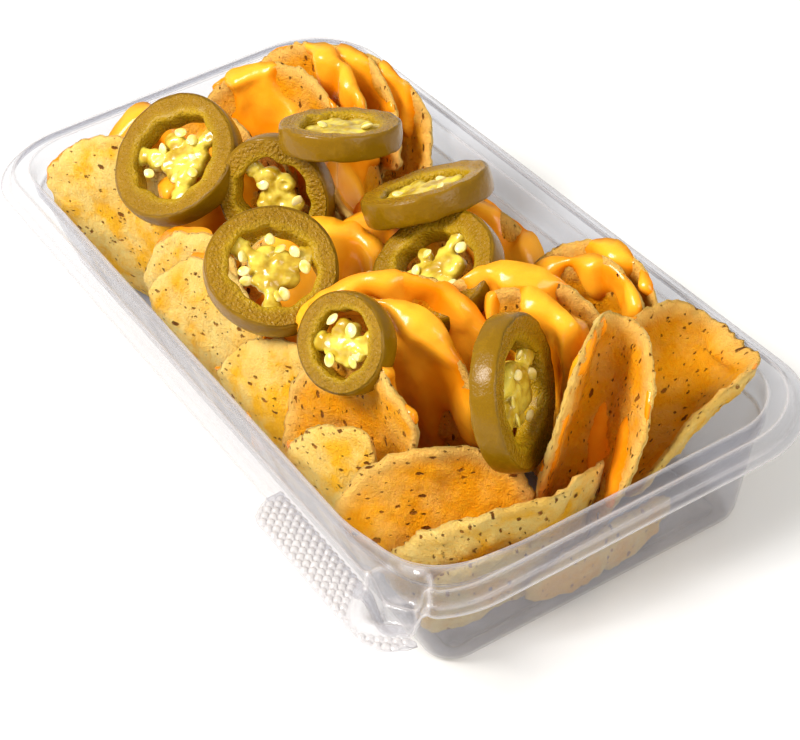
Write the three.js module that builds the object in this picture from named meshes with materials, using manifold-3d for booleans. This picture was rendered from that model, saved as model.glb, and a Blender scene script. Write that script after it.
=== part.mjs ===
// Nachos with cheese: round corn chips and pickled pepper slices in a clear plastic tray.
// Millimetres, +Z up. The tray's long side runs along Y and its front is at -Y.
// Heights in the tables below are measured from the tray's rim, up positive.

import * as THREE from 'three';
import { mergeVertices } from 'three/addons/utils/BufferGeometryUtils.js';
import Module from 'manifold-3d';

const wasm = await Module();
wasm.setup();

const GAP = 0.3; // clear space kept between neighbouring pieces

// Tray: half sizes are to the crest of the inner rim.
const RIM_HALF_WIDTH = 48;
const RIM_HALF_LENGTH = 104.4;
const RIM_CORNER = 15;
const TRAY_DEPTH = 34;
const SHEET = 0.9;
const CORNER_STEPS = 6;

// Chips are thin round discs, rolled about one line across them.
const CHIP_RADIUS = 27;
const CHIP_THICKNESS = 1.8;
const CHIP_STRIPS = 9;

const PEPPER_THICKNESS = 6;
const PEPPER_CURVE_SEGMENTS = 11;

// ---------------------------------------------------------------- small helpers

function facetedMesh(name, geometry, colour, roughness, extra = {}) {
  const material = new THREE.MeshStandardMaterial({ color: colour, roughness, metalness: 0, ...extra });
  const mesh = new THREE.Mesh(geometry, material);
  mesh.name = name;
  return mesh;
}

function toSolid(geometry) {
  const bare = geometry.clone();
  for (const key of Object.keys(bare.attributes)) {
    if (key !== 'position') bare.deleteAttribute(key);
  }
  const merged = mergeVertices(bare, 1e-5);
  const vertProperties = new Float32Array(merged.attributes.position.array);
  const triVerts = new Uint32Array(merged.index.array);
  return new wasm.Manifold(new wasm.Mesh({ numProp: 3, vertProperties, triVerts }));
}

function toGeometry(solid) {
  const mesh = solid.getMesh();
  const geometry = new THREE.BufferGeometry();
  const points = new Float32Array(mesh.numVert * 3);
  for (let i = 0; i < mesh.numVert; i += 1) {
    for (let k = 0; k < 3; k += 1) points[3 * i + k] = mesh.vertProperties[mesh.numProp * i + k];
  }
  geometry.setAttribute('position', new THREE.BufferAttribute(points, 3));
  geometry.setIndex(Array.from(mesh.triVerts));
  return geometry;
}

// A closed skin through rings of points, each ring counter-clockwise from above,
// with a single point at its start and at its end.
function skin(first, rings, last) {
  const sides = rings[0].length;
  const points = [first, ...rings.flat(), last];
  const at = (ring, i) => 1 + ring * sides + (i % sides);
  const end = points.length - 1;
  const index = [];
  for (let i = 0; i < sides; i += 1) {
    index.push(0, at(0, i), at(0, i + 1));
    for (let r = 0; r + 1 < rings.length; r += 1) {
      index.push(at(r, i), at(r + 1, i), at(r + 1, i + 1));
      index.push(at(r, i), at(r + 1, i + 1), at(r, i + 1));
    }
    index.push(at(rings.length - 1, i), end, at(rings.length - 1, i + 1));
  }
  const geometry = new THREE.BufferGeometry().setFromPoints(points);
  geometry.setIndex(index);
  return geometry;
}

// ---------------------------------------------------------------- tray

// One level of the tray: a rounded rectangle grown by `out` from the rim's crest.
function trayRing(out, z) {
  const radius = Math.max(RIM_CORNER + out, 3);
  const cx = RIM_HALF_WIDTH + out - radius;
  const cy = RIM_HALF_LENGTH + out - radius;
  const centres = [[cx, cy], [-cx, cy], [-cx, -cy], [cx, -cy]];
  const ring = [];
  centres.forEach(([x, y], corner) => {
    for (let i = 0; i <= CORNER_STEPS; i += 1) {
      const a = (corner + i / CORNER_STEPS) * Math.PI / 2;
      ring.push(new THREE.Vector3(x + radius * Math.cos(a), y + radius * Math.sin(a), z));
    }
  });
  return ring;
}

// The sheet's upper face from the floor out to the flange's edge, as [outset, height].
const UPPER = [
  [-9.5, SHEET - TRAY_DEPTH], [-7.2, 3 - TRAY_DEPTH], [-2, -7], [-0.9, -6.2], [-0.6, -0.7],
  [0, 0], [0.8, -0.6], [3.6, -0.8], [4.4, -0.2], [5.2, -0.8], [5.8, -3], [8.6, -3.4],
];
// Its under face, back from the flange's edge to the floor.
const UNDER = [
  [8.6, -4.2], [5.1, -3.9], [4.3, -1.7], [1.5, -1.7], [0.4, -1.6],
  [0, -7], [-1.1, -7.8], [-6.2, 2.4 - TRAY_DEPTH], [-8.6, -TRAY_DEPTH],
];

function trayShell() {
  const levels = [...UPPER, ...UNDER];
  const rings = levels.map(([out, z]) => trayRing(out, z));
  return skin(
    new THREE.Vector3(0, 0, SHEET - TRAY_DEPTH),
    rings,
    new THREE.Vector3(0, 0, -TRAY_DEPTH),
  );
}

// Everything that the tray's inside keeps out: a thick block round the cavity.
function trayKeepOut() {
  const inner = UPPER.slice(0, 6).map(([out, z]) => trayRing(out - GAP, z + GAP));
  const block = [trayRing(40, GAP), trayRing(40, -TRAY_DEPTH - 10)];
  return skin(
    new THREE.Vector3(0, 0, SHEET + GAP - TRAY_DEPTH),
    [...inner, ...block],
    new THREE.Vector3(0, 0, -TRAY_DEPTH - 10),
  );
}

function extruded(outline, depth, z) {
  const geometry = new THREE.ExtrudeGeometry(outline, { depth, bevelEnabled: false, curveSegments: 5 });
  return geometry.translate(0, 0, z);
}

// The lifting tab on the left of the flange, next to the front corner.
const TAB = { outer: 61.6, inner: 54.4, back: -57, front: -113, corner: 9, top: -3.3, thickness: 1 };

function tabOutline() {
  const { outer, inner, back, front, corner } = TAB;
  const shape = new THREE.Shape();
  shape.moveTo(-inner, back + 4);
  shape.lineTo(-inner - 1.4, back + 3);
  shape.lineTo(-outer + 0.8, back - 4);
  shape.quadraticCurveTo(-outer, back - 6, -outer, back - 8);
  shape.lineTo(-outer, front + corner);
  shape.absarc(-outer + corner, front + corner, corner, Math.PI, 1.5 * Math.PI, false);
  shape.lineTo(-inner + 6, front);
  shape.lineTo(-inner + 6, front + 4.5);
  shape.lineTo(-inner, front + 9);
  shape.closePath();
  return shape;
}

// The snap cup sunk in the front left corner of the flange.
const SNAP = { x: -47.6, y: -104, radius: 4.6, floor: 3.6, depth: 6 };

function lathe(profile, sides = 12) {
  const geometry = new THREE.LatheGeometry(profile.map(([r, z]) => new THREE.Vector2(r, z)), sides);
  return geometry.rotateX(Math.PI / 2);
}

function snapCup(grow) {
  const { x, y, radius, floor, depth } = SNAP;
  const low = -0.2 - depth - grow * 0.6;
  const top = 1 - grow;
  const profile = [[0, low], [floor + grow, low], [radius + grow, -0.9], [radius + grow, top], [0, top]];
  return lathe(profile).translate(x, y, 0);
}

// Shallow upright ribs that stiffen the walls.
const RIB = { width: 3, proud: 0.7, top: -9.5, bottom: 5 - TRAY_DEPTH };
const LONG_RIBS = [-66, -33, 0, 33, 66];
const SHORT_RIBS = [-15, 15];

function wallRibs() {
  const [lowOut, lowZ] = UNDER[7];
  const [highOut, highZ] = UNDER[6];
  const slope = Math.atan2(highOut - lowOut, highZ - lowZ);
  const height = RIB.top - RIB.bottom;
  const middle = (RIB.top + RIB.bottom) / 2;
  const outset = lowOut + (middle - lowZ) * Math.tan(slope);
  const ribs = [];
  for (const side of [1, -1]) {
    for (const y of LONG_RIBS) {
      const rib = new THREE.BoxGeometry(2 * RIB.proud, RIB.width, height);
      rib.rotateY(side * slope).translate(side * (RIM_HALF_WIDTH + outset), y, middle);
      ribs.push(rib);
    }
    for (const x of SHORT_RIBS) {
      const rib = new THREE.BoxGeometry(RIB.width, 2 * RIB.proud, height);
      rib.rotateX(-side * slope).translate(x, side * (RIM_HALF_LENGTH + outset), middle);
      ribs.push(rib);
    }
  }
  return ribs;
}

function traySolid() {
  let tray = toSolid(trayShell());
  tray = tray.add(toSolid(extruded(tabOutline(), TAB.thickness, TAB.top - TAB.thickness)));
  tray = tray.add(toSolid(snapCup(SHEET)));
  tray = tray.subtract(toSolid(snapCup(0)));
  for (const rib of wallRibs()) tray = tray.add(toSolid(rib));
  return tray;
}

// ---------------------------------------------------------------- chips

// Where a bent chip's cross-section goes at distance s from its middle line:
// an arc of the given radius up to the fold angle, then straight on.
function rolled(s, radius, foldAngle) {
  const arc = radius * foldAngle;
  const bent = Math.min(Math.abs(s), arc);
  const beyond = Math.abs(s) - bent;
  const turn = bent / radius;
  const across = radius * Math.sin(turn) + beyond * Math.cos(turn);
  const rise = radius * (1 - Math.cos(turn)) + beyond * Math.sin(turn);
  return { across: Math.sign(s) * across, rise, turn: Math.sign(s) * turn };
}

// A point of a chip's face: s runs across the roll, t along it, and side is 1 for the upper face.
function chipPoint(chip, s, t, side, grow) {
  const spin = THREE.MathUtils.degToRad(chip.roll);
  const fold = THREE.MathUtils.degToRad(chip.fold ?? 60);
  const { across, rise, turn } = rolled(s, Math.abs(chip.bend), fold);
  const sign = Math.sign(chip.bend);
  const half = side * (CHIP_THICKNESS / 2 + grow);
  const u = across - sign * half * Math.sin(turn);
  const w = sign * rise + half * Math.cos(turn);
  const point = new THREE.Vector3(u, t, w);
  return point.applyAxisAngle(new THREE.Vector3(0, 0, 1), spin);
}

// The disc is cut into strips along its roll, so that flat strips follow the curve.
function chipGeometry(chip, grow) {
  const radius = chip.radius ?? CHIP_RADIUS;
  const reachAlong = radius * (chip.squash ?? 1) + grow;
  const around = 2 * CHIP_STRIPS;
  const outline = (side) => Array.from({ length: around }, (_, i) => {
    const a = (i / around) * 2 * Math.PI;
    return chipPoint(chip, (radius + grow) * Math.cos(a), reachAlong * Math.sin(a), side, grow);
  });
  const index = [];
  const quad = (a, b, c, d) => index.push(a, b, c, a, c, d);
  for (let i = 0; i < around; i += 1) {
    const next = (i + 1) % around;
    quad(around + i, around + next, next, i);
  }
  for (let i = 0; i < CHIP_STRIPS; i += 1) {
    const [a, b] = [i, i + 1];
    const [c, d] = [around - i - 1, (around - i) % around];
    const corners = [...new Set([a, b, c, d])];
    for (let k = 1; k + 1 < corners.length; k += 1) {
      index.push(corners[0], corners[k], corners[k + 1]);
      index.push(around + corners[0], around + corners[k + 1], around + corners[k]);
    }
  }
  const geometry = new THREE.BufferGeometry().setFromPoints([...outline(1), ...outline(-1)]);
  geometry.setIndex(index);
  return geometry;
}

// x, y, z: the middle. face: the compass turn of the side that the chip looks to, 0 for the front (-Y)
// and 90 for the right (+X). tilt: how far that side looks up. bend: the roll's radius, positive where
// the hollow side looks out. roll: the turn of the line that it is rolled about, 0 for upright.
// fold: the angle at which the roll ends in straight flaps. squash: length over width of an oblong chip.
const CHIPS = [
  // along the front wall and in the front corners
  { name: 'chip_folded', at: [12, -79, -2], radius: 24, face: -30, tilt: 20, bend: 5, roll: -22, fold: 76 },
  {
    name: 'chip_corner', at: [30.3, -80.5, -8.5], radius: 23.5, face: -52, tilt: 62, bend: 13, roll: -30,
    fold: 78,
  },
  {
    name: 'chip_front_wall', at: [-11, -91, -26], radius: 34, squash: 0.82, face: -2, tilt: -12,
    bend: -34, roll: 0,
  },
  { name: 'chip_front_left', at: [-28, -80, -20], radius: 26, face: -34, tilt: 34, bend: 45, roll: 90 },
  {
    name: 'chip_front_low', at: [4, -95, -27], radius: 21, squash: 0.5, face: 6, tilt: -8,
    bend: -60, roll: 0,
  },
  // along the left wall
  { name: 'chip_left_1', at: [-37, -64, -18], radius: 25, face: -66, tilt: 0, bend: -60, roll: 90 },
  { name: 'chip_left_2', at: [-28, -57, -9], face: -76, tilt: 4, bend: 55, roll: 10 },
  { name: 'chip_left_3', at: [-39, -30, -15], radius: 24, face: -72, tilt: 6, bend: -45, roll: 90 },
  { name: 'chip_left_4', at: [-32, -33, -11], radius: 25, face: -72, tilt: 0, bend: 60, roll: 0 },
  { name: 'chip_left_5', at: [-40, 6, -9], radius: 21, face: -72, tilt: 8, bend: -45, roll: 90 },
  { name: 'chip_left_6', at: [-35, 17, -12], radius: 24, face: -80, tilt: 0, bend: -60, roll: 90 },
  { name: 'chip_left_7', at: [-37, 63, -7.5], radius: 25, face: -66, tilt: 2, bend: -45, roll: 90 },
  // sauced ones in the middle
  { name: 'chip_middle_1', at: [-11, -37, -4], face: -36, tilt: 2, bend: 45, roll: 0 },
  { name: 'chip_middle_2', at: [-17, -43, -3], face: -55, tilt: 0, bend: 50, roll: 0 },
  { name: 'chip_middle_3', at: [12, -51, -5], face: -41, tilt: 0, bend: 40, roll: 0 },
  { name: 'chip_middle_4', at: [10, -61, -6], face: -62, tilt: 0, bend: 40, roll: 0 },
  { name: 'chip_middle_5', at: [-14, -8, -9], face: -48, tilt: 20, bend: 50, roll: 0 },
  { name: 'chip_middle_6', at: [0, -14, -10], face: -30, tilt: 26, bend: 55, roll: 0 },
  { name: 'chip_middle_7', at: [-20, 34, -11], face: -30, tilt: 20, bend: 50, roll: 0 },
  { name: 'chip_middle_8', at: [2, 30, -7], face: 58, tilt: 10, bend: 45, roll: 0 },
  { name: 'chip_middle_9', at: [11, 27, -7], face: 62, tilt: 12, bend: 45, roll: 0 },
  // along the right wall
  { name: 'chip_right_1', at: [38, -50, -14], face: -78, tilt: 8, bend: 32, roll: 0 },
  { name: 'chip_right_2', at: [33, -53, -14], face: -76, tilt: 6, bend: 32, roll: 0 },
  { name: 'chip_right_3', at: [17, 1, -15], radius: 25, face: -23, tilt: 50, bend: 50, roll: 0 },
  { name: 'chip_right_4', at: [13, -15, -11], face: -31, tilt: 34, bend: 50, roll: 0 },
  // at the back
  { name: 'chip_back_1', at: [24, 64, -7], face: -74, tilt: 12, bend: 60, roll: 0 },
  { name: 'chip_back_2', at: [29, 61, -8], face: -70, tilt: 14, bend: 55, roll: 0 },
  { name: 'chip_back_3', at: [34, 57, -10], face: -66, tilt: 14, bend: 50, roll: 0 },
  { name: 'chip_back_4', at: [13, 64, -9], face: -55, tilt: 14, bend: 50, roll: 0 },
  { name: 'chip_back_5', at: [4, 71, -15], face: -20, tilt: 24, bend: 50, roll: 0 },
  { name: 'chip_back_6', at: [-9, 74, -14], face: -20, tilt: 30, bend: 50, roll: 0 },
  { name: 'chip_back_7', at: [-24.5, 76.5, -20], radius: 22, face: -14, tilt: 42, bend: 50, roll: 0 },
  { name: 'chip_back_8', at: [-14, 66, -4], radius: 20, face: -20, tilt: 30, bend: 50, roll: 0 },
  // low in the front left corner
  {
    name: 'chip_front_corner', at: [-22, -92.5, -24], radius: 20, squash: 0.75, face: -8, tilt: -10,
    bend: -45, roll: 0,
  },
];

// ---------------------------------------------------------------- pepper slices

// The seed chambers of a slice, each [turn in degrees, half angle, inner share, outer share of its radius].
const THREE_FOLD = [[95, 44, 0.34, 0.72], [215, 40, 0.3, 0.72], [335, 40, 0.36, 0.72]];
const TWO_FOLD = [[80, 62, 0.3, 0.72], [260, 58, 0.3, 0.72]];

function chamberPath([turn, half, inner, outer], radius) {
  const path = new THREE.Path();
  const steps = 5;
  const at = (share, degrees) => {
    const a = THREE.MathUtils.degToRad(degrees);
    return [radius * share * Math.cos(a), radius * share * Math.sin(a)];
  };
  path.moveTo(...at(outer, turn - half));
  for (let i = 1; i <= steps; i += 1) path.lineTo(...at(outer, turn - half + (2 * half * i) / steps));
  for (let i = 0; i <= 2; i += 1) path.lineTo(...at(inner, turn + half * 0.6 * (1 - i)));
  path.closePath();
  return path;
}

function pepperGeometry(pepper, grow) {
  const { radius, chambers } = pepper;
  const shape = new THREE.Shape();
  shape.absarc(0, 0, radius + grow, 0, 2 * Math.PI, false);
  if (grow === 0) shape.holes = chambers.map((chamber) => chamberPath(chamber, radius));
  const depth = (pepper.thickness ?? PEPPER_THICKNESS) + 2 * grow;
  const options = { depth, bevelEnabled: false, curveSegments: PEPPER_CURVE_SEGMENTS };
  return new THREE.ExtrudeGeometry(shape, options).translate(0, 0, -depth / 2);
}

const PEPPERS = [
  {
    name: 'pepper_slice_1', at: [-23.5, 44.3, 17.9], face: -65, tilt: 57, radius: 16.8, spin: 0,
    chambers: THREE_FOLD,
  },
  {
    name: 'pepper_slice_2', at: [-9, 21, 13], face: -47, tilt: 18, radius: 14.5, spin: 40,
    chambers: TWO_FOLD,
  },
  { name: 'pepper_slice_3', at: [7, 14, 27], face: 129, tilt: 72, radius: 14.3, spin: 0, chambers: TWO_FOLD },
  {
    name: 'pepper_slice_4', at: [13, -15, 22], face: 174, tilt: 67, radius: 15.2, spin: 0,
    chambers: TWO_FOLD,
  },
  {
    name: 'pepper_slice_5', at: [3, -34, 15], face: -84, tilt: 60, radius: 15.4, spin: 20,
    chambers: TWO_FOLD,
  },
  {
    name: 'pepper_slice_6', at: [-28, -14, 19], face: -10, tilt: 57, radius: 15, spin: 60,
    chambers: THREE_FOLD,
  },
  {
    name: 'pepper_slice_7', at: [-28, -48, 19], face: -70, tilt: 36, radius: 11.3, thickness: 5, spin: 100,
    chambers: TWO_FOLD,
  },
  {
    name: 'pepper_slice_8', at: [-5, -77, 12], face: 40, tilt: 12, radius: 16.5, spin: 90,
    chambers: TWO_FOLD,
  },
];

// ---------------------------------------------------------------- placing and fitting

// A piece's own frame: X level, Z out of the side that it faces.
function pose({ at, face, tilt, spin = 0 }) {
  const turn = THREE.MathUtils.degToRad(face);
  const lift = THREE.MathUtils.degToRad(tilt);
  const outward = new THREE.Vector3(
    Math.sin(turn) * Math.cos(lift), -Math.cos(turn) * Math.cos(lift), Math.sin(lift),
  );
  const level = new THREE.Vector3(Math.cos(turn), Math.sin(turn), 0);
  const upward = new THREE.Vector3().crossVectors(outward, level);
  const matrix = new THREE.Matrix4().makeBasis(level, upward, outward);
  matrix.multiply(new THREE.Matrix4().makeRotationZ(THREE.MathUtils.degToRad(spin)));
  return matrix.setPosition(...at);
}

function boxOf(geometry) {
  geometry.computeBoundingBox();
  return geometry.boundingBox;
}

function largest(solid) {
  return solid.decompose().reduce((best, piece) => (piece.volume() > best.volume() ? piece : best));
}

const pieces = [
  ...PEPPERS.map((item) => ({ item, shape: pepperGeometry, colour: 0x8f8a1e, roughness: 0.35 })),
  ...CHIPS.map((item) => ({ item, shape: chipGeometry, colour: 0xf0b95a, roughness: 0.75 })),
];

const keptOut = [{ solid: toSolid(trayKeepOut()), box: null }];
const food = new THREE.Group();

for (const { item, shape, colour, roughness } of pieces) {
  const matrix = pose(item);
  const placed = shape(item, 0).applyMatrix4(matrix);
  const box = boxOf(placed);
  let solid = toSolid(placed);
  for (const other of keptOut) {
    if (other.box === null || box.intersectsBox(other.box)) solid = solid.subtract(other.solid);
  }
  const whole = shape(item, GAP).applyMatrix4(matrix);
  keptOut.push({ solid: toSolid(whole), box: boxOf(whole) });
  const local = toGeometry(largest(solid)).applyMatrix4(matrix.clone().invert());
  const mesh = facetedMesh(item.name, local, colour, roughness);
  mesh.applyMatrix4(matrix);
  food.add(mesh);
}

const clear = { transparent: true, opacity: 0.3 };
const tray = facetedMesh('tray', toGeometry(traySolid()), 0xeef1f4, 0.12, clear);

// The whole stands on Z = 0, with the middle of its box over the origin.
const nachos = new THREE.Group();
nachos.add(tray, food);
const bounds = new THREE.Box3().setFromObject(nachos, true);
nachos.position.set(-(bounds.min.x + bounds.max.x) / 2, -(bounds.min.y + bounds.max.y) / 2, -bounds.min.z);

export default nachos;
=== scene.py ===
"""Nachos with cheese: fried corn chips, melted cheese sauce and pickled pepper slices in a clear tray.

Lengths in the tables are in millimetres. The rim frame has its origin at the middle of the tray's rim,
with X to the right, Y to the back and Z up.
"""

import math
import random

import bpy
import numpy as np
from bpy.props import FloatProperty, FloatVectorProperty, PointerProperty
from mathutils import Matrix, Vector


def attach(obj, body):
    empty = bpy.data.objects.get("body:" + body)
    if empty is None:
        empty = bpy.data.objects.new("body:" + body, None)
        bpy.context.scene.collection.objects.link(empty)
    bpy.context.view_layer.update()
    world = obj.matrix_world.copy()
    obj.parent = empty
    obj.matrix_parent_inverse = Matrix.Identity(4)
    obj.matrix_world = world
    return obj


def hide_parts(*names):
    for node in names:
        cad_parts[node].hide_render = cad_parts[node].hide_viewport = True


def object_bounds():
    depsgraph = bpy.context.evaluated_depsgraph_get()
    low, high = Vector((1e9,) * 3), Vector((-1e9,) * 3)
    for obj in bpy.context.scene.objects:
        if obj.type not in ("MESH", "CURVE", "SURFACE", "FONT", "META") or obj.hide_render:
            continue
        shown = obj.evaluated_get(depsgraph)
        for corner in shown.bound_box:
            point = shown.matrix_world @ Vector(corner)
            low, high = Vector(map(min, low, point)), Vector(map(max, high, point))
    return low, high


bl_info = {
    "name": "Nachos with cheese",
    "version": (1, 0, 0),
    "blender": (4, 5, 0),
    "location": "View3D > Sidebar > Nachos",
    "description": "Corn chips, cheese sauce and pepper slices in a clear tray",
    "category": "Add Mesh",
}

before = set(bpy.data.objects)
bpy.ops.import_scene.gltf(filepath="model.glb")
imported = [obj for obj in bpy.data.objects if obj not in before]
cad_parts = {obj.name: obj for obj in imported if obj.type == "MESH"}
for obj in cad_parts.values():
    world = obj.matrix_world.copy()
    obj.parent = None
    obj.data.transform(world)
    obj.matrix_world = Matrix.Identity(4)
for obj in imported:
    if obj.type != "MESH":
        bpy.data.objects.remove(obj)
CAD_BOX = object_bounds()

BODY = "root"
MM = 0.001
RIM_ORIGIN = np.array([2.5, 0.0, 34.0])

# The tray: half sizes are to the crest of its inner rim.
RIM_HALF = (48.0, 104.4)
RIM_CORNER = 15.0
# How far the inside of the wall stands out from the crest, from the floor up.
WALL_HEIGHTS = (-33.1, -31.0, -7.0, -6.2, -0.7, 0.0)
WALL_REACHES = (-9.5, -7.2, -2.0, -0.9, -0.6, 0.0)


# ------------------------------------------------------------------ tables

# name: middle, compass turn of the face, how far it looks up, radius of the roll, turn of the roll's line,
# then disc radius, fold angle and squash, then how much sauce lies on the face and on the back (0 to 1).
CHIPS = {
    "chip_folded": ((12, -79, -2), -30, 20, 5, -22, 24, 76, 1, 0.35, 0.1),
    "chip_corner": ((30.3, -80.5, -8.5), -52, 62, 13, -30, 23.5, 78, 1, 0.05, 0),
    "chip_front_wall": ((-11, -91, -26), -2, -12, -34, 0, 34, 60, 0.82, 0, 0),
    "chip_front_left": ((-28, -80, -20), -34, 34, 45, 90, 26, 60, 1, 0.0, 0.0),
    "chip_front_low": ((4, -95, -27), 6, -8, -60, 0, 21, 60, 0.5, 0.0, 0.0),
    "chip_left_1": ((-37, -64, -18), -66, 0, -60, 90, 25, 60, 1, 0, 0.1),
    "chip_left_2": ((-28, -57, -9), -76, 4, 55, 10, 27, 60, 1, 0, 0.5),
    "chip_left_3": ((-39, -30, -15), -72, 6, -45, 90, 24, 60, 1, 0, 0.1),
    "chip_left_4": ((-32, -33, -11), -72, 0, 60, 0, 25, 60, 1, 0.15, 0.45),
    "chip_left_5": ((-40, 6, -9), -72, 8, -45, 90, 21, 60, 1, 0, 0.1),
    "chip_left_6": ((-35, 17, -12), -80, 0, -60, 90, 24, 60, 1, 0, 0.3),
    "chip_left_7": ((-37, 63, -7.5), -66, 2, -45, 90, 25, 60, 1, 0, 0.2),
    "chip_middle_1": ((-11, -37, -4), -36, 2, 45, 0, 27, 60, 1, 0.8, 0.45),
    "chip_middle_2": ((-17, -43, -3), -55, 0, 50, 0, 27, 60, 1, 0.85, 0.45),
    "chip_middle_3": ((12, -51, -5), -41, 0, 40, 0, 27, 60, 1, 0.75, 0.45),
    "chip_middle_4": ((10, -61, -6), -62, 0, 40, 0, 27, 60, 1, 0.8, 0.45),
    "chip_middle_5": ((-14, -8, -9), -48, 20, 50, 0, 27, 60, 1, 0.75, 0.3),
    "chip_middle_6": ((0, -14, -10), -30, 26, 55, 0, 27, 60, 1, 0.8, 0.3),
    "chip_middle_7": ((-20, 34, -11), -30, 20, 50, 0, 27, 60, 1, 0.7, 0.3),
    "chip_middle_8": ((2, 30, -7), 58, 10, 45, 0, 27, 60, 1, 0.75, 0.5),
    "chip_middle_9": ((11, 27, -7), 62, 12, 45, 0, 27, 60, 1, 0.75, 0.5),
    "chip_right_1": ((38, -50, -14), -78, 8, 32, 0, 27, 60, 1, 0.25, 0),
    "chip_right_2": ((33, -53, -14), -76, 6, 32, 0, 27, 60, 1, 0.6, 0.2),
    "chip_right_3": ((17, 1, -15), -23, 50, 50, 0, 25, 60, 1, 0.45, 0.1),
    "chip_right_4": ((13, -15, -11), -31, 34, 50, 0, 27, 60, 1, 0.75, 0.2),
    "chip_back_1": ((24, 64, -7), -74, 12, 60, 0, 27, 60, 1, 0.4, 0.1),
    "chip_back_2": ((29, 61, -8), -70, 14, 55, 0, 27, 60, 1, 0.3, 0),
    "chip_back_3": ((34, 57, -10), -66, 14, 50, 0, 27, 60, 1, 0.15, 0),
    "chip_back_4": ((13, 64, -9), -55, 14, 50, 0, 27, 60, 1, 0.6, 0.2),
    "chip_back_5": ((4, 71, -15), -20, 24, 50, 0, 27, 60, 1, 0.5, 0.1),
    "chip_back_6": ((-9, 74, -14), -20, 30, 50, 0, 27, 60, 1, 0.42, 0.1),
    "chip_back_7": ((-24.5, 76.5, -20), -14, 42, 50, 0, 22, 60, 1, 0, 0),
    "chip_front_corner": ((-22, -92.5, -24), -8, -10, -45, 0, 20, 60, 0.75, 0, 0),
    "chip_back_8": ((-14, 66, -4), -20, 30, 50, 0, 20, 60, 1, 0.6, 0),
}
SAUCE_GROUPS = {
    "cheese_sauce_front": ("chip_folded", "chip_corner", "chip_middle_1", "chip_middle_2", "chip_middle_3",
                           "chip_middle_4", "chip_left_1", "chip_left_2", "chip_right_1", "chip_right_2"),
    "cheese_sauce_middle": ("chip_middle_5", "chip_middle_6", "chip_middle_7", "chip_middle_8",
                            "chip_middle_9", "chip_right_3", "chip_right_4", "chip_left_3", "chip_left_4",
                            "chip_left_5", "chip_left_6"),
    "cheese_sauce_back": ("chip_back_1", "chip_back_2", "chip_back_3", "chip_back_4", "chip_back_5",
                          "chip_back_6", "chip_back_7", "chip_back_8", "chip_left_7"),
}

# name: middle, compass turn of the face, how far it looks up, radius, thickness, spin, seed chambers, seeds,
# and how much of the middle the placenta fills.
PEPPERS = {
    "pepper_slice_1": ((-23.5, 44.3, 17.9), -65, 57, 16.8, 6.0, 0, 3, 9, 0.55),
    "pepper_slice_2": ((-9, 21, 13), -47, 18, 14.5, 6.0, 40, 2, 3, 0.5),
    "pepper_slice_3": ((7, 14, 27), 129, 72, 14.3, 6.0, 0, 2, 2, 0.8),
    "pepper_slice_4": ((13, -15, 22), 174, 67, 15.2, 6.0, 0, 2, 3, 0.75),
    "pepper_slice_5": ((3, -34, 15), -84, 60, 15.4, 6.0, 20, 2, 5, 0.5),
    "pepper_slice_6": ((-28, -14, 19), -10, 57, 15.0, 6.0, 60, 3, 9, 0.42),
    "pepper_slice_7": ((-28, -48, 19), -70, 36, 11.3, 5.0, 100, 2, 6, 0.5),
    "pepper_slice_8": ((-5, -77, 12), 40, 12, 16.5, 6.0, 90, 2, 7, 0.45),
}


# ------------------------------------------------------------------ settings

def hex_colour(code):
    """An sRGB hex colour as linear red, green and blue."""
    parts = [int(code[i:i + 2], 16) / 255 for i in (1, 3, 5)]
    return tuple(c / 12.92 if c <= 0.04045 else ((c + 0.055) / 1.055) ** 2.4 for c in parts)


def colour_setting(name, description, code):
    return FloatVectorProperty(
        name=name, description=description, default=hex_colour(code), subtype="COLOR", min=0, max=1, size=3,
    )


def length_setting(name, description, millimetres):
    return FloatProperty(
        name=name, description=description, default=millimetres * MM, unit="LENGTH", subtype="DISTANCE",
        min=0, precision=4,
    )


class TraySettings(bpy.types.PropertyGroup):
    film: length_setting("Film", "Thickness of the tray's sheet", 0.45)
    rib_depth: length_setting("Rib depth", "How far the wall ribs stand proud", 0.7)
    dimple: length_setting("Dimple pitch", "Spacing of the dimples in the lifting tab", 2.6)
    clear: colour_setting("Clear film", "What the film lets through", "#F1F2F5")
    haze: colour_setting("Haze", "The milky light that bends and edges of the film scatter", "#CDC8C7")


class ChipSettings(bpy.types.PropertyGroup):
    thickness: length_setting("Thickness", "Thickness of a chip", 1.7)
    wave: length_setting("Wave", "How far a chip waves from its roll", 1.1)
    blister: length_setting("Blister height", "Height of the largest fried blisters", 0.75)
    pale: colour_setting("Pale corn", "Lightest part of a chip", "#FFE087")
    gold: colour_setting("Fried gold", "Main colour of a chip", "#FFBC24")
    oiled: colour_setting("Painted_hollow_shade", "Hollow side that holds the oil", "#FFA200")
    # painted shade: the deeper orange painted on the hollow side of each chip, for the shade and bounced light
    # in the hollow
    toast: colour_setting("Toasted", "Rim and blister tops", "#EBA02A")
    speck: colour_setting("Speck", "Burnt hull specks", "#5E2B06")
    husk: colour_setting("Husk", "Lighter hull specks", "#A8641A")


class SauceSettings(bpy.types.PropertyGroup):
    depth: length_setting("Depth", "Depth of the sauce on a chip", 2.5)
    thick: colour_setting("Deep sauce", "Colour where the sauce is deep", "#FFAF26")
    thin: colour_setting("Thin sauce", "Colour where the sauce is thin", "#EA8400")


class PepperSettings(bpy.types.PropertyGroup):
    wall: length_setting("Wall", "Thickness of a slice's wall", 5.4)
    seed_length: length_setting("Seed", "Length of a seed", 3.4)
    skin: colour_setting("Skin", "Outer skin after pickling", "#7E5B04")
    flesh: colour_setting("Flesh", "Cut wall", "#97700C")
    lining: colour_setting("Lining", "Inside of the wall", "#B08C12")
    placenta: colour_setting("Placenta", "Pale seed-bearing middle", "#DCC648")
    seed: colour_setting("Seed colour", "Pickled seeds", "#FAE9A2")


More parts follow.
